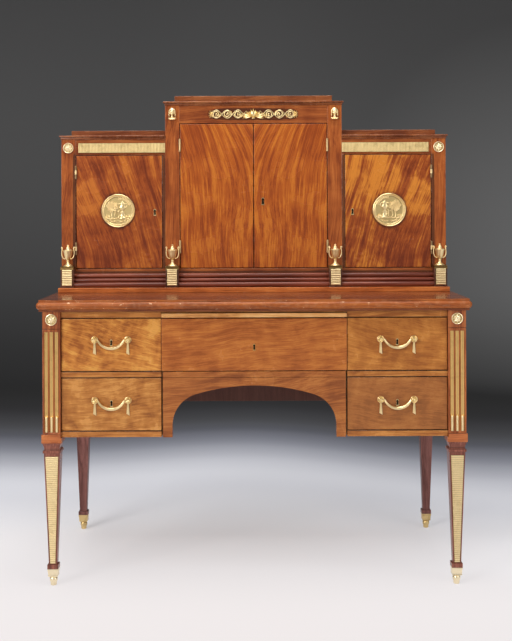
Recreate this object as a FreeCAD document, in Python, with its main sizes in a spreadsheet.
import FreeCAD, Part
import math
import os
from types import SimpleNamespace

import Sketcher

# A neoclassical writing cabinet: a drawer table on tapering legs with a three-part cabinet on top.
# Frame: origin on the floor under the middle of the table top, +Z up, front towards -Y, millimetres.

doc = FreeCAD.newDocument("writing_cabinet")

# Driving dimensions
SIZES = (
    # table top
    ("top_width", 1242), ("top_depth", 630), ("top_height", 819), ("top_flat", 6), ("top_nose", 22),
    ("top_bed", 5), ("top_step", 8),
    # legs, set in from the top's edges
    ("case_front_inset", 13), ("case_back_inset", 8), ("leg_inset", 43), ("stile_width", 51),
    ("cap_lap", 9), ("cap_width", 57), ("cap_height", 24), ("scotia_top_width", 53), ("scotia_width", 46),
    ("scotia_waist", 43), ("scotia_shoulder", 45.5), ("scotia_height", 22), ("bead_width", 51),
    ("bead_height", 7), ("neck_height", 7), ("taper_top_width", 45), ("taper_foot_width", 23),
    ("collar_width", 31), ("collar_height", 12), ("shoe_top_width", 29), ("shoe_foot_width", 23),
    ("shoe_height", 23), ("foot_height", 26), ("foot_radius", 9.5), ("foot_waist", 6.5),
    # brass on the stiles and legs
    ("flute_width", 11), ("flute_pitch", 14.6), ("flute_depth", 4), ("flute_foot_gap", 7),
    ("flute_head_gap", 58.5), ("groove_drop", 51), ("groove_width", 2),
    ("groove_depth", 1.5), ("liner_thickness", 0.8), ("cable_radius", 2.4), ("cable_length", 45),
    ("leg_panel_margin", 4), ("leg_panel_gap", 3), ("brass_thickness", 1.5),
    ("patera_radius", 15.5), ("patera_thickness", 5), ("patera_drop", 23.5),
    # drawer case boards
    ("panel_thickness", 16), ("back_thickness", 10), ("side_front_setback", 8), ("front_thickness", 20),
    ("centre_projection", 4), ("seam_x", 265), ("seam_gap", 1), ("partition_thickness", 16),
    ("top_rail_height", 20), ("drawer_height", 149), ("rail_height", 17), ("front_gap", 2),
    ("stile_gap", 1.5), ("running_gap", 0.3), ("guide_height", 25), ("apron_gap", 4), ("seam_depth", 1.2),
    ("apron_stile_width", 27), ("crown_depth", 23), ("arch_rise", 114), ("haunch_radius", 93),
    # drawer boxes
    ("box_thickness", 8), ("box_play", 1), ("box_back_gap", 57), ("box_top_drop", 10),
    ("box_bottom_lift", 3), ("box_bottom_thickness", 6),
    # pull-out writing slide
    ("slide_thickness", 12), ("slide_top_gap", 6.5), ("slide_back_gap", 102), ("slide_projection", 3),
    ("slide_clamp_depth", 20), ("runner_width", 14), ("runner_height", 10),
    # drawer handles and locks
    ("handle_spacing", 95), ("rosette_radius", 10), ("rosette_thickness", 3.5), ("post_radius", 3.5),
    ("post_length", 14.5), ("pin_reach", 10), ("pin_radius", 1.6), ("bore_clearance", 0.05),
    ("bail_radius", 3.2), ("bail_sag", 24), ("bail_end_room", 6.5), ("tail_length", 42),
    ("tail_width", 6), ("upper_handle_lift", 89), ("lower_handle_lift", 86), ("keyhole_drop", 6),
    ("centre_keyhole_lift", 70), ("keyhole_plate_radius", 4.5), ("keyhole_plate_width", 5),
    ("keyhole_plate_length", 13), ("keyhole_plate_thickness", 1.2), ("lock_width", 40),
    ("lock_height", 36), ("lock_depth", 9),
    # base of the upper cabinet
    ("cabinet_inset", 18), ("cabinet_depth", 292), ("base_lip", 4), ("base_projection", 45),
    ("base_thickness", 15), ("lower_reed_height", 16), ("middle_reed_height", 12),
    ("upper_reed_height", 15), ("reed_projection", 34), ("reed_step", 8), ("floor_thickness", 14),
    ("plinth_projection", 38), ("plinth_width", 40), ("plinth_height", 56), ("plinth_cap_height", 10),
    ("plinth_cap_lip", 0.5), ("plinth_panel_margin", 4.5), ("plinth_panel_gap", 6), ("urn_foot_radius", 14),
    ("urn_stem_radius", 4), ("urn_body_radius", 15), ("urn_neck_radius", 6.5), ("urn_height", 67),
    ("urn_handle_radius", 6), ("urn_handle_wire", 1.8),
    # upper cabinet
    ("board_thickness", 18), ("stile_depth", 30), ("door_thickness", 18), ("rail_depth", 22),
    ("corner_stile_width", 46), ("jamb_width", 9), ("centre_half_width", 277), ("centre_stile_width", 46),
    ("wing_door_height", 353), ("wing_frieze_height", 49), ("centre_door_height", 451),
    ("centre_frieze_height", 57), ("cornice_height", 12), ("cornice_lip", 6),
    ("cornice_bed_height", 7), ("cornice_bed_lip", 2), ("blocking_setback", 28),
    ("wing_blocking_height", 17), ("centre_blocking_height", 20), ("shelf_setback", 45),
    ("shelf_thickness", 12), ("wing_shelf_lift", 180), ("centre_shelf_pitch", 151),
    ("door_free_gap", 1.5), ("centre_door_gap", 2.4), ("door_end_gap", 2),
    # hinges
    ("hinge_gap", 2.2), ("leaf_thickness", 0.8), ("leaf_width", 16), ("barrel_radius", 3.5),
    ("barrel_length", 39), ("barrel_play", 0.3), ("hinge_pin_radius", 1.5), ("pin_tip", 1),
    ("wing_hinge_margin", 42), ("wing_hinge_head_margin", 33), ("centre_hinge_margin", 47),
    # cabinet mounts
    ("frieze_brass_margin", 7), ("frieze_brass_height", 30), ("frieze_brass_end_gap", 8),
    ("wing_patera_radius", 16.5), ("wing_patera_drop", 27), ("medallion_radius", 52),
    ("medallion_thickness", 5), ("medallion_offset", 3.5), ("medallion_lift", 180),
    ("wing_keyhole_inset", 24), ("wing_keyhole_lift", 178), ("centre_keyhole_x", 29),
    ("door_keyhole_lift", 212), ("head_drop", 29), ("head_plate_width", 22), ("head_plate_height", 37),
    ("head_plate_thickness", 3), ("head_radius", 8), ("head_half_height", 12), ("scroll_radius", 12.5),
    ("scroll_wire", 2), ("scroll_first", 47), ("scroll_pitch", 34.5), ("scroll_stem_thickness", 1.4),
    ("scroll_vase_radius", 15), ("scroll_standoff", 0.3), ("scroll_vase_thickness", 2.6),
)

sheet = doc.addObject("Spreadsheet::Sheet", "sizes")
for row, (name, value) in enumerate(SIZES, start=1):
    sheet.set("A%d" % row, name)
    sheet.set("B%d" % row, str(value))
    sheet.setAlias("B%d" % row, name)
doc.recompute()


class Term:
    """A size worked out from the sheet: the expression that binds it, and its present number."""

    def __init__(self, text, number):
        self.text = text
        self.number = number

    def join(self, sign, other, number):
        return Term("(%s %s %s)" % (self.text, sign, other.text), number)

    def __add__(self, other):
        other = term(other)
        return self.join("+", other, self.number + other.number)

    def __sub__(self, other):
        other = term(other)
        return self.join("-", other, self.number - other.number)

    def __mul__(self, other):
        other = term(other)
        return self.join("*", other, self.number * other.number)

    def __truediv__(self, other):
        other = term(other)
        return self.join("/", other, self.number / other.number)

    def __neg__(self):
        return Term("(0 - %s)" % self.text, -self.number)


def term(value):
    return value if isinstance(value, Term) else Term(repr(value), value)


s = SimpleNamespace(**{name: Term("sizes." + name, value) for name, value in SIZES})
ZERO = term(0)
LEFT, RIGHT = -1, 1
FRONT, REAR = -1, 1
TURN_TO_X = FreeCAD.Rotation(FreeCAD.Vector(0, 1, 0), 90)
TURN_TO_Y = FreeCAD.Rotation(FreeCAD.Vector(1, 0, 0), -90)
STAND_UP = FreeCAD.Rotation(FreeCAD.Vector(1, 0, 0), 90)
nodes = {}


# Helpers: places, boards, rods, tapers, booleans and revolved or padded bodies

def place(piece, x, y, z, rotation=None):
    if rotation is not None:
        piece.Placement = FreeCAD.Placement(FreeCAD.Vector(), rotation)
    for axis, value in zip("xyz", (x, y, z)):
        piece.setExpression("Placement.Base." + axis, term(value).text)
    return piece


def board(name, x, y, z):
    """A rectangular board: each of x, y and z is a pair, its low and its high end."""
    piece = doc.addObject("Part::Box", name)
    for edge, (low, high) in zip(("Length", "Width", "Height"), (x, y, z)):
        piece.setExpression(edge, (high - low).text)
    return place(piece, x[0], y[0], z[0])


def rod(name, axis, radius, start, length):
    """A round rod that runs from start along +X, +Y or +Z."""
    piece = doc.addObject("Part::Cylinder", name)
    piece.setExpression("Radius", term(radius).text)
    piece.setExpression("Height", term(length).text)
    rotation = {"x": TURN_TO_X, "y": TURN_TO_Y, "z": None}[axis]
    return place(piece, *start, rotation)


def ring(name, ring_radius, wire_radius, centre):
    """A round ring that lies in the XZ plane."""
    piece = doc.addObject("Part::Torus", name)
    piece.setExpression("Radius1", ring_radius.text)
    piece.setExpression("Radius2", wire_radius.text)
    return place(piece, *centre, STAND_UP)


def egg(name, half_x, half_y, half_z, centre):
    piece = doc.addObject("Part::Ellipsoid", name)
    for edge, value in zip(("Radius1", "Radius2", "Radius3"), (half_z, half_x, half_y)):
        piece.setExpression(edge, term(value).text)
    return place(piece, *centre)


def taper(name, centre, z, low_x, low_y, high_x, high_y):
    """A tapering block from z[0] to z[1]. The spans at each end are measured from the centre line,
    and the y spans count towards the front."""
    piece = doc.addObject("Part::Wedge", name)
    ends = {"Xmin": low_x[0], "Xmax": low_x[1], "Zmin": low_y[0], "Zmax": low_y[1],
            "X2min": high_x[0], "X2max": high_x[1], "Z2min": high_y[0], "Z2max": high_y[1],
            "Ymin": ZERO, "Ymax": z[1] - z[0]}
    for edge, value in ends.items():
        piece.setExpression(edge, term(value).text)
    return place(piece, centre[0], centre[1], z[0], STAND_UP)


def around(width):
    return (-(width / 2), width / 2)


def across(side, low, high):
    """The span from low to high on the right, or its mirror on the left."""
    return (low, high) if side == RIGHT else (-high, -low)


def fuse(name, *pieces):
    piece = doc.addObject("Part::MultiFuse", name)
    piece.Shapes = list(pieces)
    piece.Refine = True
    return piece


def cut(name, base, tool):
    piece = doc.addObject("Part::Cut", name)
    piece.Base = base
    piece.Tool = tool
    return piece


def draw(body, role, start, moves):
    """A closed sketch on one of the body's own planes. A move is (x, y) for a line, or
    (x, y, radius, side) for an arc that bulges to the left (1) or right (-1) of its travel."""
    plane = [item for item in body.Origin.OriginFeatures if item.Role == role][0]
    sketch = body.newObject("Sketcher::SketchObject", body.Name + "_sketch")
    sketch.AttachmentSupport = [(plane, "")]
    sketch.MapMode = "FlatFace"
    points = [start] + [move[:2] for move in moves]
    ends = []
    for index, move in enumerate(moves):
        a = FreeCAD.Vector(term(points[index][0]).number, term(points[index][1]).number, 0)
        b = FreeCAD.Vector(term(move[0]).number, term(move[1]).number, 0)
        if len(move) == 2:
            sketch.addGeometry(Part.LineSegment(a, b), False)
            ends.append((1, 2))
            continue
        radius, bulge = move[2].number, move[3]
        chord = b - a
        normal = FreeCAD.Vector(-chord.y, chord.x, 0).normalize() * bulge
        height = radius - math.sqrt(radius ** 2 - chord.Length ** 2 / 4)
        middle = (a + b) * 0.5 + normal * height
        sketch.addGeometry(Part.Arc(a, middle, b), False)
        ends.append((2, 1) if bulge > 0 else (1, 2))
    count = len(moves)
    for index in range(count):
        following = (index + 1) % count
        sketch.addConstraint(Sketcher.Constraint(
            "Coincident", index, ends[index][1], following, ends[following][0]))
    for index in range(count):
        for kind, value in zip(("DistanceX", "DistanceY"), points[index]):
            value = term(value)
            number = sketch.addConstraint(Sketcher.Constraint(
                kind, -1, 1, index, ends[index][0], value.number))
            sketch.renameConstraint(number, "point%d_%s" % (index, kind))
            sketch.setExpression("Constraints.point%d_%s" % (index, kind), value.text)
        if len(moves[index]) > 2:
            number = sketch.addConstraint(Sketcher.Constraint("Radius", index, moves[index][2].number))
            sketch.renameConstraint(number, "arc%d" % index)
            sketch.setExpression("Constraints.arc%d" % index, moves[index][2].text)
    return sketch


def turned(name, role, outline, x, y, z):
    """A body turned about the upright axis of its sketch plane, from (radius, height) points."""
    body = doc.addObject("PartDesign::Body", name)
    sketch = draw(body, role, outline[0], outline[1:] + [outline[0]])
    spin = body.newObject("PartDesign::Revolution", name + "_spin")
    spin.Profile = sketch
    spin.ReferenceAxis = (sketch, ["V_Axis"])
    spin.Angle = 360
    body.Tip = spin
    return place(body, x, y, z)


def disc(name, radius, thickness, x, y, z):
    """A gilt disc in low relief: a raised rim, a hollow ring and a domed middle, facing -Y."""
    outline = [(ZERO, ZERO), (radius, ZERO), (radius, -(thickness * 0.5)),
               (radius * 0.93, -thickness), (radius * 0.84, -thickness),
               (radius * 0.78, -(thickness * 0.5)), (radius * 0.45, -(thickness * 0.5)),
               (radius * 0.3, -(thickness * 0.9)), (ZERO, -thickness)]
    return turned(name, "XY_Plane", outline, x, y, z)


def node(name, *pieces):
    """Keep one piece, or a group of separate pieces, as a named sub-part."""
    kept = pieces[0]
    if len(pieces) > 1:
        kept = doc.addObject("Part::Compound", name)
        kept.Links = list(pieces)
    kept.Label = name
    nodes[name] = kept


# Planes and lines that several pieces share, from the top down and from the back forward
half_width = s.top_width / 2
top_under = s.top_height - s.top_flat - s.top_nose - s.top_bed
top_front = -(s.top_depth / 2)
case_front = top_front + s.case_front_inset
case_back = s.top_depth / 2 - s.case_back_inset
panel_back = case_back - s.back_thickness
leg_x = half_width - s.leg_inset
stile_inner = leg_x - s.stile_width / 2
front_leg_y = case_front + s.stile_width / 2
rear_leg_y = case_back - s.stile_width / 2
side_front = case_front + s.side_front_setback
centre_front = side_front - s.centre_projection
fronts_back = side_front + s.front_thickness
partition_inner = s.seam_x - s.partition_thickness / 2
partition_outer = s.seam_x + s.partition_thickness / 2
end_panel_inner = leg_x + s.stile_width / 2 - s.panel_thickness
upper_front_top = top_under - s.top_rail_height - s.front_gap
upper_front_bottom = upper_front_top - s.drawer_height
divider_top = upper_front_bottom - s.front_gap
divider_bottom = divider_top - s.rail_height
lower_front_top = divider_bottom - s.front_gap
lower_front_bottom = lower_front_top - s.drawer_height
bottom_board_top = lower_front_bottom - s.front_gap
case_bottom = bottom_board_top - s.rail_height
stile_bottom = case_bottom + s.cap_lap
apron_half_width = s.seam_x - s.apron_gap
arch_half_span = apron_half_width - s.apron_stile_width
arch_spring = divider_bottom - s.crown_depth - s.arch_rise
box_back = panel_back - s.box_back_gap

cabinet_front = case_back - s.cabinet_depth
cabinet_half_width = half_width - s.cabinet_inset
base_top = s.top_height + s.base_thickness
floor_bottom = base_top + s.lower_reed_height + s.middle_reed_height + s.upper_reed_height
floor_top = floor_bottom + s.floor_thickness
plinth_front = cabinet_front - s.plinth_projection
plinth_top = base_top + s.plinth_height
wing_door_outer = cabinet_half_width - s.corner_stile_width
outer_plinth_x = cabinet_half_width - s.corner_stile_width / 2
centre_door_outer = s.centre_half_width - s.centre_stile_width
inner_plinth_x = s.centre_half_width - s.centre_stile_width / 2
door_bottom = floor_top + s.door_end_gap
wing_door_top = door_bottom + s.wing_door_height
wing_rail_bottom = wing_door_top + s.door_end_gap
wing_top = wing_rail_bottom + s.wing_frieze_height
centre_door_top = door_bottom + s.centre_door_height
centre_rail_bottom = centre_door_top + s.door_end_gap
centre_top = centre_rail_bottom + s.centre_frieze_height

# Table top: a flat, a rounded nose on the front and the ends, and a bed moulding under it
flat_half = s.top_width / 2 - s.top_step
flat_front = top_front + s.top_step
nose_radius = s.top_nose / 2
nose_half = s.top_width / 2 - nose_radius
nose_front = top_front + nose_radius
nose_z = (top_under + s.top_bed, s.top_height - s.top_flat)
nose_middle = top_under + s.top_bed + nose_radius
nose_back = s.top_depth / 2
top_pieces = [
    board("top_flat_board", (-flat_half, flat_half), (flat_front, nose_back), (nose_z[1], s.top_height)),
    board("top_core", (-nose_half, nose_half), (nose_front, nose_back), nose_z),
    board("top_bed_board", (-flat_half, flat_half), (flat_front, nose_back), (top_under, nose_z[0])),
    rod("top_front_nose", "x", nose_radius, (-nose_half, nose_front, nose_middle), nose_half * 2),
]
for side in (LEFT, RIGHT):
    corner = (nose_half * side, nose_front, nose_middle)
    top_pieces.append(rod("top_end_nose", "y", nose_radius, corner, nose_back - nose_front))
    ball = doc.addObject("Part::Sphere", "top_corner")
    ball.setExpression("Radius", nose_radius.text)
    top_pieces.append(place(ball, *corner))
node("table_top", fuse("table_top", *top_pieces))

# Legs: square stile, cap, scotia, bead, neck, tapering shaft and collar in one length of wood
cap_bottom = stile_bottom - s.cap_height
scotia_bottom = cap_bottom - s.scotia_height
hollow_low = scotia_bottom + s.scotia_height * 0.2
hollow_high = scotia_bottom + s.scotia_height * 0.55
bead_bottom = scotia_bottom - s.bead_height
taper_top = bead_bottom - s.neck_height
collar_bottom = s.foot_height + s.shoe_height
taper_bottom = collar_bottom + s.collar_height
flute_bottom = stile_bottom + s.flute_foot_gap
flute_top = top_under - s.flute_head_gap


def leg(name, side, y, facing):
    """One leg. It faces FRONT or REAR, and the cap laps the case only on its outer faces."""
    x = leg_x * side

    def lap(axis, outward):
        low, high = s.stile_width / 2, s.cap_width / 2
        return (axis - low, axis + high) if outward > 0 else (axis - high, axis + low)

    def block(part, width, low, high):
        return board(name + part, (x - width / 2, x + width / 2), (y - width / 2, y + width / 2), (low, high))

    def tapered(part, low_width, high_width, low, high):
        low_span, high_span = around(low_width), around(high_width)
        return taper(name + part, (x, y), (low, high), low_span, low_span, high_span, high_span)

    whole = fuse(
        name + "_whole",
        block("_stile", s.stile_width, stile_bottom, top_under),
        block("_cap", s.cap_width, cap_bottom, case_bottom),
        board(name + "_cap_lap", lap(x, side), lap(y, facing), (case_bottom, stile_bottom)),
        tapered("_scotia_foot", s.scotia_width, s.scotia_waist, scotia_bottom, hollow_low),
        tapered("_scotia_hollow", s.scotia_waist, s.scotia_shoulder, hollow_low, hollow_high),
        tapered("_scotia_head", s.scotia_shoulder, s.scotia_top_width, hollow_high, cap_bottom),
        block("_bead", s.bead_width, bead_bottom, scotia_bottom),
        block("_neck", s.taper_top_width, taper_top, bead_bottom),
        tapered("_shaft", s.taper_foot_width, s.taper_top_width, taper_bottom, taper_top),
        block("_collar", s.collar_width, collar_bottom, taper_bottom))
    if facing == REAR:
        return whole
    flutes = doc.addObject("Part::Compound", name + "_flutes")
    sinkings = [board(name + "_flute", flute_span(side, index), (case_front, case_front + s.flute_depth),
                      (flute_bottom, flute_top)) for index in (-1, 0, 1)]
    groove_half = s.stile_width / 2 + s.groove_depth
    groove_low = top_under - s.groove_drop
    sinkings.append(board(name + "_groove", (x - groove_half, x + groove_half),
                          (case_front - s.groove_depth, case_front + s.groove_depth),
                          (groove_low, groove_low + s.groove_width)))
    flutes.Links = sinkings
    return cut(name + "_fluted", whole, flutes)


def flute_span(side, index):
    middle = leg_x * side + s.flute_pitch * index
    return (middle - s.flute_width / 2, middle + s.flute_width / 2)


node("front_legs", *[leg("front_leg", side, front_leg_y, FRONT) for side in (LEFT, RIGHT)])
node("rear_legs", *[leg("rear_leg", side, rear_leg_y, REAR) for side in (LEFT, RIGHT)])

# Sabots: a cast square shoe under each collar with a turned foot
foot_outline = [(ZERO, ZERO), (s.foot_waist, ZERO), (s.foot_radius, s.foot_height * 0.3),
                (s.foot_radius, s.foot_height * 0.6), (s.foot_waist, s.foot_height * 0.85),
                (s.foot_waist, s.foot_height), (ZERO, s.foot_height)]
sabots = []
for y in (front_leg_y, rear_leg_y):
    for side in (LEFT, RIGHT):
        low, high = around(s.shoe_foot_width), around(s.shoe_top_width)
        shoe = taper("shoe", (leg_x * side, y), (s.foot_height, collar_bottom), low, low, high, high)
        foot = turned("foot", "XZ_Plane", foot_outline, leg_x * side, y, ZERO)
        sabots.append(fuse("sabot", shoe, foot))
node("sabots", *sabots)

# Fluted brass: a liner in each flute of the front stiles and a cable in its lower third
flute_brasses = []
liner_back = case_front + s.flute_depth
liner_front = liner_back - s.liner_thickness
for side in (LEFT, RIGHT):
    for index in (-1, 0, 1):
        flute_brasses.append(board("flute_liner", flute_span(side, index), (liner_front, liner_back),
                                   (flute_bottom, flute_top)))
        cable_start = (leg_x * side + s.flute_pitch * index, liner_front - s.cable_radius, flute_bottom)
        flute_brasses.append(rod("flute_cable", "z", s.cable_radius, cable_start, s.cable_length))
node("flute_brasses", *flute_brasses)

# Carcase boards: end panels, back, partitions, divider boards, bottoms and the rails under the top
stile_back = case_front + s.stile_width
rear_stile_front = case_back - s.stile_width
case_z = (case_bottom, top_under)
node("end_panels", *[
    board("end_panel", across(side, end_panel_inner, end_panel_inner + s.panel_thickness),
          (stile_back, rear_stile_front), case_z) for side in (LEFT, RIGHT)])
node("back_panel", board("back_panel", (-stile_inner, stile_inner), (panel_back, case_back), case_z))
node("partitions", *[
    board("partition", across(side, partition_inner, partition_outer), (fronts_back, panel_back), case_z)
    for side in (LEFT, RIGHT)])
divider_z = (divider_bottom, divider_top)
node("divider_boards",
     board("divider_centre", (-partition_inner, partition_inner), (fronts_back, panel_back), divider_z),
     *[board("divider_side", across(side, partition_outer, stile_inner), (fronts_back, panel_back), divider_z)
       for side in (LEFT, RIGHT)],
     *[board("divider_rail", across(side, s.seam_x, stile_inner), (side_front, fronts_back), divider_z)
       for side in (LEFT, RIGHT)])
bottom_z = (case_bottom, bottom_board_top)
node("bottom_boards",
     *[board("bottom_board", across(side, partition_outer, stile_inner), (fronts_back, panel_back), bottom_z)
       for side in (LEFT, RIGHT)],
     *[board("bottom_rail", across(side, s.seam_x, stile_inner), (side_front, fronts_back), bottom_z)
       for side in (LEFT, RIGHT)])
slide_top = top_under - s.slide_top_gap
slide_bottom = slide_top - s.slide_thickness
rail_z = (upper_front_top + s.front_gap, top_under)
node("top_rails",
     *[board("top_rail", across(side, s.seam_x, stile_inner), (side_front, fronts_back), rail_z)
       for side in (LEFT, RIGHT)],
     board("slide_lintel", (s.seam_gap - s.seam_x, s.seam_x - s.seam_gap), (centre_front, fronts_back),
           (slide_top + s.front_gap, top_under)))

# Runners: guides beside the drawers, and cleats below and above the writing slide
guide_inner = stile_inner - s.stile_gap - s.box_play
runners = []
for side in (LEFT, RIGHT):
    for base in (bottom_board_top, divider_top):
        runners.append(board("drawer_guide", across(side, guide_inner, end_panel_inner),
                             (stile_back, rear_stile_front), (base, base + s.guide_height)))
    cleat_x = across(side, partition_inner - s.runner_width, partition_inner)
    cleat_top = slide_bottom - s.running_gap
    runners.append(board("slide_cleat", cleat_x, (fronts_back, panel_back),
                         (cleat_top - s.runner_height, cleat_top)))
    runners.append(board("slide_kicker", cleat_x, (fronts_back, panel_back),
                         (slide_top + s.running_gap, top_under)))
node("drawer_runners", *runners)

# Kneehole apron: one board cut to a three-centred arch
haunch_x = arch_half_span - s.haunch_radius
crown_radius = ((haunch_x * haunch_x + s.arch_rise * s.arch_rise - s.haunch_radius * s.haunch_radius)
                / ((s.arch_rise - s.haunch_radius) * 2))
radius_ratio = s.haunch_radius / (crown_radius - s.haunch_radius)
join_x = haunch_x + haunch_x * radius_ratio
join_z = arch_spring + (crown_radius - s.arch_rise) * radius_ratio
apron_outline = [
    (-arch_half_span, case_bottom), (-arch_half_span, arch_spring),
    (-join_x, join_z, s.haunch_radius, 1), (join_x, join_z, crown_radius, 1),
    (arch_half_span, arch_spring, s.haunch_radius, 1), (arch_half_span, case_bottom),
    (apron_half_width, case_bottom), (apron_half_width, divider_top),
    (-apron_half_width, divider_top), (-apron_half_width, case_bottom)]
apron = doc.addObject("PartDesign::Body", "kneehole_apron")
apron_sketch = draw(apron, "XZ_Plane", (-apron_half_width, case_bottom), apron_outline)
apron_pad = apron.newObject("PartDesign::Pad", "apron_pad")
apron_pad.Profile = apron_sketch
apron_pad.setExpression("Length", (fronts_back - centre_front).text)
apron_pad.Reversed = True
apron.Tip = apron_pad
seam_half = apron_half_width + s.seam_depth
apron_seam = board("apron_seam", (-seam_half, seam_half),
                   (centre_front - s.seam_depth, centre_front + s.seam_depth),
                   (divider_bottom - s.seam_gap / 2, divider_bottom + s.seam_gap / 2))
node("kneehole_apron", cut("seamed_apron", place(apron, ZERO, centre_front, ZERO), apron_seam))


# Drawers: a show front with a box of thin boards behind it

def drawer_box(name, x, base, top):
    """Two sides, a back and a bottom board. The sides run on the board under them."""
    low = base + s.running_gap
    t = s.box_thickness
    inner = (x[0] + t, x[1] - t)
    floor_low = low + s.box_bottom_lift
    floor_high = floor_low + s.box_bottom_thickness
    node(name,
         board(name + "_left", (x[0], x[0] + t), (fronts_back, box_back), (low, top)),
         board(name + "_right", (x[1] - t, x[1]), (fronts_back, box_back), (low, top)),
         board(name + "_back", inner, (box_back - t, box_back), (floor_high, top)),
         board(name + "_bottom", inner, (fronts_back, box_back), (floor_low, floor_high)))


def keyhole(name, x, front, z):
    """A small keyhole plate: a disc over a short tongue, on the face at y = front."""
    face = front - s.keyhole_plate_thickness
    tongue = board(name + "_tongue", (x - s.keyhole_plate_width / 2, x + s.keyhole_plate_width / 2),
                   (face, front), (z - s.keyhole_plate_length, z))
    eye = rod(name + "_eye", "y", s.keyhole_plate_radius, (x, face, z), s.keyhole_plate_thickness)
    return fuse(name, eye, tongue)


def lock_case(name, x, back, z):
    """A closed lock case on the back of a front or door."""
    return board(name, (x - s.lock_width / 2, x + s.lock_width / 2), (back, back + s.lock_depth),
                 (z - s.lock_height / 2, z + s.lock_height / 2))


pin_y = side_front - s.pin_reach
post_front = -s.post_length
rosette_outline = [(ZERO, ZERO), (s.rosette_radius, ZERO), (s.rosette_radius, -(s.rosette_thickness * 0.5)),
                   (s.rosette_radius * 0.7, -s.rosette_thickness), (s.post_radius, -s.rosette_thickness),
                   (s.post_radius, post_front), (ZERO, post_front)]
bore_radius = s.pin_radius + s.bore_clearance


def handle(name, centre, pin_z):
    """Two rosettes with posts and hanging tails, the keyhole plate and the lock of one drawer."""
    pieces = []
    for side in (LEFT, RIGHT):
        x = centre + s.handle_spacing / 2 * side
        rosette = turned(name + "_rosette", "XY_Plane", rosette_outline, x, side_front, pin_z)
        tail = board(name + "_tail", (x - s.tail_width / 2, x + s.tail_width / 2),
                     (side_front - s.rosette_thickness, side_front), (pin_z - s.tail_length, pin_z))
        bore = rod(name + "_bore", "x", bore_radius, (x - s.post_radius * 2, pin_y, pin_z), s.post_radius * 4)
        pieces.append(cut(name + "_mount", fuse(name + "_mount_whole", rosette, tail), bore))
    key_z = pin_z - s.keyhole_drop
    pieces.append(keyhole(name + "_keyhole", centre, side_front, key_z))
    pieces.append(lock_case(name + "_lock", centre, fronts_back, key_z))
    node(name, *pieces)


def bail(name, centre, pin_z):
    """A hanging swag: the lower arc of a ring, with a pin at each end that turns in a post."""
    half = s.handle_spacing / 2 - s.post_radius - s.bail_end_room
    radius = (half * half + s.bail_sag * s.bail_sag) / (s.bail_sag * 2)
    whole = ring(name + "_ring", radius, s.bail_radius, (centre, pin_y, pin_z + radius - s.bail_sag))
    reach = radius + s.bail_radius * 2
    keep = board(name + "_keep", (centre - reach, centre + reach),
                 (pin_y - s.bail_radius * 2, pin_y + s.bail_radius * 2),
                 (pin_z - s.bail_sag - s.bail_radius * 2, pin_z + s.bail_radius))
    arc = doc.addObject("Part::Common", name + "_arc")
    arc.Base = whole
    arc.Tool = keep
    pin_length = s.handle_spacing / 2 + s.post_radius / 2 - half
    right_pin = rod(name + "_pin", "x", s.pin_radius, (centre + half, pin_y, pin_z), pin_length)
    left_pin = rod(name + "_pin", "x", s.pin_radius, (centre - half - pin_length, pin_y, pin_z), pin_length)
    node(name, fuse(name, arc, left_pin, right_pin))


ROWS = (("upper", divider_top, upper_front_top, upper_front_bottom + s.upper_handle_lift),
        ("lower", bottom_board_top, lower_front_top, lower_front_bottom + s.lower_handle_lift))
front_low = s.seam_x + s.seam_gap / 2
front_high = stile_inner - s.stile_gap
for side, hand in ((LEFT, "left"), (RIGHT, "right")):
    middle = (front_low + front_high) / 2 * side
    for level, base, top, pin_z in ROWS:
        place_name = "%s_%s" % (level, hand)
        front_x = across(side, front_low, front_high)
        box_x = across(side, partition_outer + s.box_play, guide_inner - s.box_play)
        node("drawer_front_" + place_name,
             board("front_" + place_name, front_x, (side_front, fronts_back), (base + s.front_gap, top)))
        drawer_box("drawer_box_" + place_name, box_x, base, top - s.box_top_drop)
        handle("drawer_handle_" + place_name, middle, pin_z)
        bail("drawer_bail_" + place_name, middle, pin_z)

# Centre drawer: the same make, with a lock and no handle
centre_half = s.seam_x - s.seam_gap / 2
centre_box = partition_inner - s.box_play
centre_key_z = upper_front_bottom + s.centre_keyhole_lift
node("centre_drawer_front", board("centre_front", (-centre_half, centre_half), (centre_front, fronts_back),
                                  (divider_top + s.front_gap, upper_front_top)))
drawer_box("centre_drawer_box", (-centre_box, centre_box), divider_top,
           slide_bottom - s.runner_height - s.box_top_drop)
node("centre_drawer_lock",
     keyhole("centre_keyhole", ZERO, centre_front, centre_key_z),
     lock_case("centre_lock", ZERO, fronts_back, centre_key_z))

# Writing slide: a flat board with a clamp across its front edge
slide_half = partition_inner - s.box_play
clamp_half = s.seam_x - s.seam_gap
clamp_front = case_front - s.slide_projection
clamp_back = clamp_front + s.slide_clamp_depth
node("writing_slide",
     board("slide_clamp", (-clamp_half, clamp_half), (clamp_front, clamp_back), (slide_bottom, slide_top)),
     board("slide_board", (-slide_half, slide_half), (clamp_back, panel_back - s.slide_back_gap),
           (slide_bottom, slide_top)))

# Base of the upper cabinet: base board, hidden plinth frame, floor, reeded mouldings and plinth blocks
base_half_width = cabinet_half_width + s.base_lip
base_y = (cabinet_front - s.base_projection, case_back)
full_width = (-cabinet_half_width, cabinet_half_width)
node("base_board", board("base_board", (-base_half_width, base_half_width), base_y,
                         (s.top_height, base_top)))
plinth_z = (base_top, floor_bottom)
rail_back = cabinet_front + s.rail_depth
node("plinth_rails",
     board("plinth_front", full_width, (cabinet_front, rail_back), plinth_z),
     board("plinth_back", full_width, (panel_back, case_back), plinth_z),
     *[board("plinth_end", across(side, cabinet_half_width - s.board_thickness, cabinet_half_width),
             (rail_back, panel_back), plinth_z) for side in (LEFT, RIGHT)])
node("cabinet_floor", board("cabinet_floor", full_width, (cabinet_front, case_back),
                            (floor_bottom, floor_top)))


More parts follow.
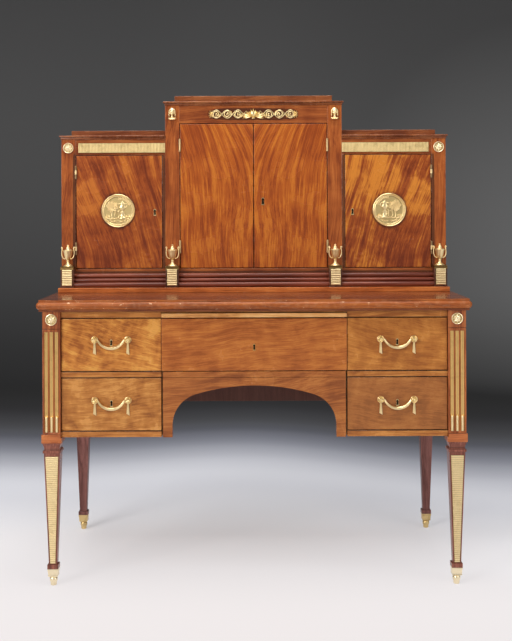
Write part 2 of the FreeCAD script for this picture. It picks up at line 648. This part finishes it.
def reeded(name, x):
    """Three half-round reeds, each set back on the one below."""
    pieces = []
    low = base_top
    heights = (s.lower_reed_height, s.middle_reed_height, s.upper_reed_height)
    for index, height in enumerate(heights):
        high = low + height
        front = cabinet_front - s.reed_projection + s.reed_step * index
        radius = height / 2
        pieces.append(board(name + "_step", x, (front + radius, cabinet_front), (low, high)))
        pieces.append(rod(name + "_reed", "x", radius, (x[0], front + radius, low + radius), x[1] - x[0]))
        low = high
    return fuse(name, *pieces)


inner_plinth_outer = inner_plinth_x + s.plinth_width / 2
inner_plinth_inner = inner_plinth_x - s.plinth_width / 2
outer_plinth_inner = outer_plinth_x - s.plinth_width / 2
node("reeded_mouldings", reeded("reeds_centre", (-inner_plinth_inner, inner_plinth_inner)),
     *[reeded("reeds_wing", across(side, inner_plinth_outer, outer_plinth_inner)) for side in (LEFT, RIGHT)])

PLINTHS = [(side, x) for side in (LEFT, RIGHT) for x in (inner_plinth_x, outer_plinth_x)]
cap_top = plinth_top + s.plinth_cap_height
cap_span = s.plinth_width + s.plinth_cap_lip * 2
plinth_blocks = []
for side, x in PLINTHS:
    block_x = (x * side - s.plinth_width / 2, x * side + s.plinth_width / 2)
    plinth_blocks.append(board("plinth_block", block_x, (plinth_front, cabinet_front),
                               (base_top, plinth_top)))
node("plinth_blocks", *plinth_blocks)

# Urns: a square plate on the plinth, a turned body with a lid, and two ring handles
urn_outline = [
    (ZERO, ZERO), (s.urn_foot_radius, ZERO), (s.urn_foot_radius, s.urn_height * 0.03),
    (s.urn_stem_radius, s.urn_height * 0.16), (s.urn_stem_radius, s.urn_height * 0.25),
    (s.urn_body_radius * 0.55, s.urn_height * 0.34), (s.urn_body_radius * 0.8, s.urn_height * 0.52),
    (s.urn_body_radius, s.urn_height * 0.71), (s.urn_body_radius, s.urn_height * 0.75),
    (s.urn_neck_radius, s.urn_height * 0.79), (s.urn_neck_radius * 0.8, s.urn_height * 0.88),
    (s.urn_stem_radius * 0.6, s.urn_height * 0.91), (s.urn_stem_radius * 0.85, s.urn_height * 0.96),
    (ZERO, s.urn_height)]
urn_y = (plinth_front + cabinet_front) / 2
urns = []
for side, x in PLINTHS:
    cap_x = (x * side - cap_span / 2, x * side + cap_span / 2)
    pieces = [board("urn_plate", cap_x, (plinth_front - s.plinth_cap_lip, cabinet_front),
                    (plinth_top, cap_top)),
              turned("urn_body", "XZ_Plane", urn_outline, x * side, urn_y, cap_top)]
    for hand in (LEFT, RIGHT):
        reach = (s.urn_body_radius - s.urn_handle_wire / 2) * hand
        centre = (x * side + reach, urn_y, cap_top + s.urn_height * 0.62)
        pieces.append(ring("urn_handle", s.urn_handle_radius, s.urn_handle_wire, centre))
    urns.append(fuse("urn", *pieces))
node("urns", *urns)

# Upper cabinet carcase: end boards with corner stiles, taller centre sides with stiles and door jambs
half_gap = s.hinge_gap / 2
stile_y = (cabinet_front, cabinet_front + s.stile_depth)
side_y = (stile_y[1], panel_back)
wing_z = (floor_top, wing_top)
centre_z = (floor_top, centre_top)
wing_stile_inner = wing_door_outer + half_gap
centre_stile_inner = centre_door_outer + half_gap
jamb_outer = s.centre_half_width + s.jamb_width
ends, sides = [], []
for side in (LEFT, RIGHT):
    end_inner = cabinet_half_width - s.board_thickness
    ends.append(board("end_board", across(side, end_inner, cabinet_half_width), side_y, wing_z))
    ends.append(board("corner_stile", across(side, wing_stile_inner, cabinet_half_width), stile_y, wing_z))
    side_inner = s.centre_half_width - s.board_thickness
    sides.append(board("side_board", across(side, side_inner, s.centre_half_width), side_y, centre_z))
    stile_x = across(side, centre_stile_inner, s.centre_half_width)
    sides.append(board("side_stile", stile_x, stile_y, centre_z))
    sides.append(board("door_jamb", across(side, s.centre_half_width, jamb_outer), stile_y,
                       (floor_top, wing_rail_bottom)))
node("cabinet_ends", *ends)
node("centre_sides", *sides)
back_y = (panel_back, case_back)
node("cabinet_backs",
     board("centre_back", (-s.centre_half_width, s.centre_half_width), back_y, centre_z),
     *[board("wing_back", across(side, s.centre_half_width, cabinet_half_width), back_y, wing_z)
       for side in (LEFT, RIGHT)])
rail_y = (cabinet_front, cabinet_front + s.rail_depth)
node("frieze_rails",
     board("centre_frieze", (-centre_stile_inner, centre_stile_inner), rail_y,
           (centre_rail_bottom, centre_top)),
     *[board("wing_frieze", across(side, s.centre_half_width, wing_stile_inner), rail_y,
             (wing_rail_bottom, wing_top)) for side in (LEFT, RIGHT)])

# Cornices: a thin lip on a narrower bed, with a blocking course set back on each
lip_y = (cabinet_front - s.cornice_lip, case_back)
bed_y = (cabinet_front - s.cornice_bed_lip, case_back)
blocking_y = (cabinet_front + s.blocking_setback, case_back)


def cornice(name, span, low, blocking_height):
    """The bed, lip and blocking course over one part of the cabinet. span gives its ends for an overhang."""
    bed_top = low + s.cornice_bed_height
    lip_top = low + s.cornice_height
    return [board(name + "_bed", span(s.cornice_bed_lip), bed_y, (low, bed_top)),
            board(name + "_lip", span(s.cornice_lip), lip_y, (bed_top, lip_top)),
            board(name + "_blocking", span(-s.blocking_setback), blocking_y,
                  (lip_top, lip_top + blocking_height))]


def centre_span(overhang):
    return (-(s.centre_half_width + overhang), s.centre_half_width + overhang)


def left_span(overhang):
    return across(LEFT, s.centre_half_width, cabinet_half_width + overhang)


def right_span(overhang):
    return across(RIGHT, s.centre_half_width, cabinet_half_width + overhang)


cornices = cornice("centre_cornice", centre_span, centre_top, s.centre_blocking_height)
cornices += cornice("left_cornice", left_span, wing_top, s.wing_blocking_height)
cornices += cornice("right_cornice", right_span, wing_top, s.wing_blocking_height)
node("cornices", *cornices)

# Shelves inside the cabinet, behind the doors and their locks
shelf_y = (cabinet_front + s.shelf_setback, panel_back)
shelf_inner = s.centre_half_width - s.board_thickness
shelves = [board("centre_shelf", (-shelf_inner, shelf_inner), shelf_y, (height, height + s.shelf_thickness))
           for height in (floor_top + s.centre_shelf_pitch, floor_top + s.centre_shelf_pitch * 2)]
wing_shelf_z = (floor_top + s.wing_shelf_lift, floor_top + s.wing_shelf_lift + s.shelf_thickness)
for side in (LEFT, RIGHT):
    wing_inner = across(side, s.centre_half_width, cabinet_half_width - s.board_thickness)
    shelves.append(board("wing_shelf", wing_inner, shelf_y, wing_shelf_z))
node("shelves", *shelves)

# Ribbed brass: tapering panels on the front legs, panels on the plinths and strips on the wing friezes
leg_slope = (s.taper_top_width - s.taper_foot_width) / (taper_top - taper_bottom)
panel_low = taper_bottom + s.leg_panel_gap
panel_high = taper_top - s.leg_panel_gap
brasses = []
for side in (LEFT, RIGHT):
    ends_of_panel = []
    for z in (panel_low, panel_high):
        width = s.taper_foot_width + leg_slope * (z - taper_bottom)
        ends_of_panel.append(around(width - s.leg_panel_margin * 2))
        ends_of_panel.append((width / 2, width / 2 + s.brass_thickness))
    brasses.append(taper("leg_panel", (leg_x * side, front_leg_y), (panel_low, panel_high), *ends_of_panel))
for side, x in PLINTHS:
    panel_half = s.plinth_width / 2 - s.plinth_panel_margin
    panel_x = (x * side - panel_half, x * side + panel_half)
    brasses.append(board("plinth_panel", panel_x, (plinth_front - s.brass_thickness, plinth_front),
                         (base_top + s.plinth_panel_gap, plinth_top)))
for side in (LEFT, RIGHT):
    strip_bottom = wing_rail_bottom + s.frieze_brass_margin
    strip_outer = wing_door_outer - s.frieze_brass_end_gap
    brasses.append(board("frieze_strip", across(side, s.centre_half_width, strip_outer),
                         (cabinet_front - s.brass_thickness, cabinet_front),
                         (strip_bottom, strip_bottom + s.frieze_brass_height)))
node("ribbed_brasses", *brasses)

# Paterae: round gilt rosettes on the stile blocks and the cabinet's corner stiles
paterae = []
for side in (LEFT, RIGHT):
    corner_x = (wing_stile_inner + cabinet_half_width) / 2 * side
    paterae.append(disc("leg_patera", s.patera_radius, s.patera_thickness, leg_x * side, case_front,
                        top_under - s.patera_drop))
    paterae.append(disc("corner_patera", s.wing_patera_radius, s.patera_thickness, corner_x, cabinet_front,
                        wing_top - s.wing_patera_drop))
node("paterae", *paterae)

# Head mounts: a small classical head on a plate at the top of each centre stile
heads = []
head_z = centre_top - s.head_drop
for side in (LEFT, RIGHT):
    x = (centre_stile_inner + s.centre_half_width) / 2 * side
    plate = board("head_plate", (x - s.head_plate_width / 2, x + s.head_plate_width / 2),
                  (cabinet_front - s.head_plate_thickness, cabinet_front),
                  (head_z - s.head_plate_height / 2, head_z + s.head_plate_height / 2))
    face = egg("head", s.head_radius, s.head_radius, s.head_half_height,
               (x, cabinet_front - s.head_radius, head_z))
    heads.append(fuse("head_mount", plate, face))
node("head_mounts", *heads)

# Scroll mount: six scrolls and a middle vase on a thin stem, pinned to the centre frieze
scroll_y = cabinet_front - s.scroll_wire - s.scroll_standoff
scroll_z = (centre_rail_bottom + centre_top) / 2
scroll_half = s.scroll_first + s.scroll_pitch * 2 + s.scroll_radius
scroll_pieces = [
    board("scroll_stem", (-scroll_half, scroll_half),
          (cabinet_front - s.scroll_stem_thickness, cabinet_front),
          (scroll_z - s.scroll_wire, scroll_z + s.scroll_wire)),
    rod("scroll_vase", "y", s.scroll_vase_radius, (ZERO, cabinet_front - s.scroll_vase_thickness, scroll_z),
        s.scroll_vase_thickness)]
for side in (LEFT, RIGHT):
    for index in range(3):
        centre = ((s.scroll_first + s.scroll_pitch * index) * side, scroll_y, scroll_z)
        scroll_pieces.append(ring("scroll", s.scroll_radius, s.scroll_wire, centre))
node("scroll_mount", fuse("scroll_mount", *scroll_pieces))

# Doors hang on two butt hinges each, whose barrels stand in front of the gap beside the stile
axis_y = cabinet_front - s.barrel_radius - s.running_gap
leaf_y = (axis_y + s.barrel_radius + s.barrel_play, cabinet_front + s.leaf_width)
jambs, pins = [], []


def knuckles(name, axis_x, leaf_x, low, thirds, bore):
    """A hinge leaf with a knuckle at each of the named thirds of the barrel, bored for the pin."""
    third = s.barrel_length / 3
    pieces = [board(name + "_plate", leaf_x, leaf_y, (low, low + s.barrel_length))]
    for index in thirds:
        z = low + third * index + s.barrel_play / 2
        height = third - s.barrel_play
        pieces.append(rod(name + "_knuckle", "z", s.barrel_radius, (axis_x, axis_y, z), height))
        pieces.append(board(name + "_tab", leaf_x, (axis_y, leaf_y[0]), (z, z + height)))
    hole = rod(name + "_hole", "z", bore, (axis_x, axis_y, low), s.barrel_length)
    return cut(name, fuse(name + "_whole", *pieces), hole)


def door(name, side, x, outer, z_top, hinge_lows, key_x, key_z, medallion):
    node(name, board(name, across(side, *x), (cabinet_front, cabinet_front + s.door_thickness),
                     (door_bottom, z_top)))
    axis_x = outer * side
    fittings = []
    for low in hinge_lows:
        fixed_x = across(side, outer + half_gap - s.leaf_thickness, outer + half_gap)
        swing_x = across(side, outer - half_gap, outer - half_gap + s.leaf_thickness)
        jambs.append(knuckles(name + "_jamb", axis_x, fixed_x, low, (0, 2), s.hinge_pin_radius))
        fittings.append(knuckles(name + "_leaf", axis_x, swing_x, low, (1,),
                                 s.hinge_pin_radius + s.bore_clearance))
        pins.append(rod(name + "_pin", "z", s.hinge_pin_radius, (axis_x, axis_y, low - s.pin_tip),
                        s.barrel_length + s.pin_tip * 2))
    door_back = cabinet_front + s.door_thickness
    if key_x is not None:
        fittings.append(keyhole(name + "_keyhole", key_x * side, cabinet_front, key_z))
        fittings.append(lock_case(name + "_lock", key_x * side, door_back, key_z))
    if medallion:
        fittings.append(disc(name + "_medallion", s.medallion_radius, s.medallion_thickness,
                             ((x[0] + x[1]) / 2 + s.medallion_offset) * side, cabinet_front,
                             door_bottom + s.medallion_lift))
    node(name + "_fittings", *fittings)


wing_x = (jamb_outer + s.door_free_gap, wing_door_outer - half_gap)
centre_x = (s.centre_door_gap / 2, centre_door_outer - half_gap)
wing_hinges = (door_bottom + s.wing_hinge_margin,
               wing_door_top - s.wing_hinge_head_margin - s.barrel_length)
centre_hinges = (door_bottom + s.centre_hinge_margin,
                 centre_door_top - s.centre_hinge_margin - s.barrel_length)
for side, hand in ((LEFT, "left"), (RIGHT, "right")):
    door("wing_door_" + hand, side, wing_x, wing_door_outer, wing_door_top, wing_hinges,
         jamb_outer + s.wing_keyhole_inset, door_bottom + s.wing_keyhole_lift, True)
    door("centre_door_" + hand, side, centre_x, centre_door_outer, centre_door_top, centre_hinges,
         s.centre_keyhole_x if side == RIGHT else None, door_bottom + s.door_keyhole_lift, False)
node("hinge_jambs", *jambs)
node("hinge_pins", *pins)

# Build, check every object and write each sub-part
doc.recompute()
broken = [item.Name for item in doc.Objects if "Invalid" in item.State or "Error" in item.State]
if broken:
    raise RuntimeError("failed objects: " + ", ".join(broken))
for name, piece in nodes.items():
    if piece.Shape.isNull() or not piece.Shape.isValid() or not piece.Shape.Solids:
        raise RuntimeError("bad shape: " + name)
os.makedirs("parts", exist_ok=True)
for name, piece in nodes.items():
    piece.Shape.exportStep("parts/%s.step" % name)
print("sub-parts written:", len(nodes))
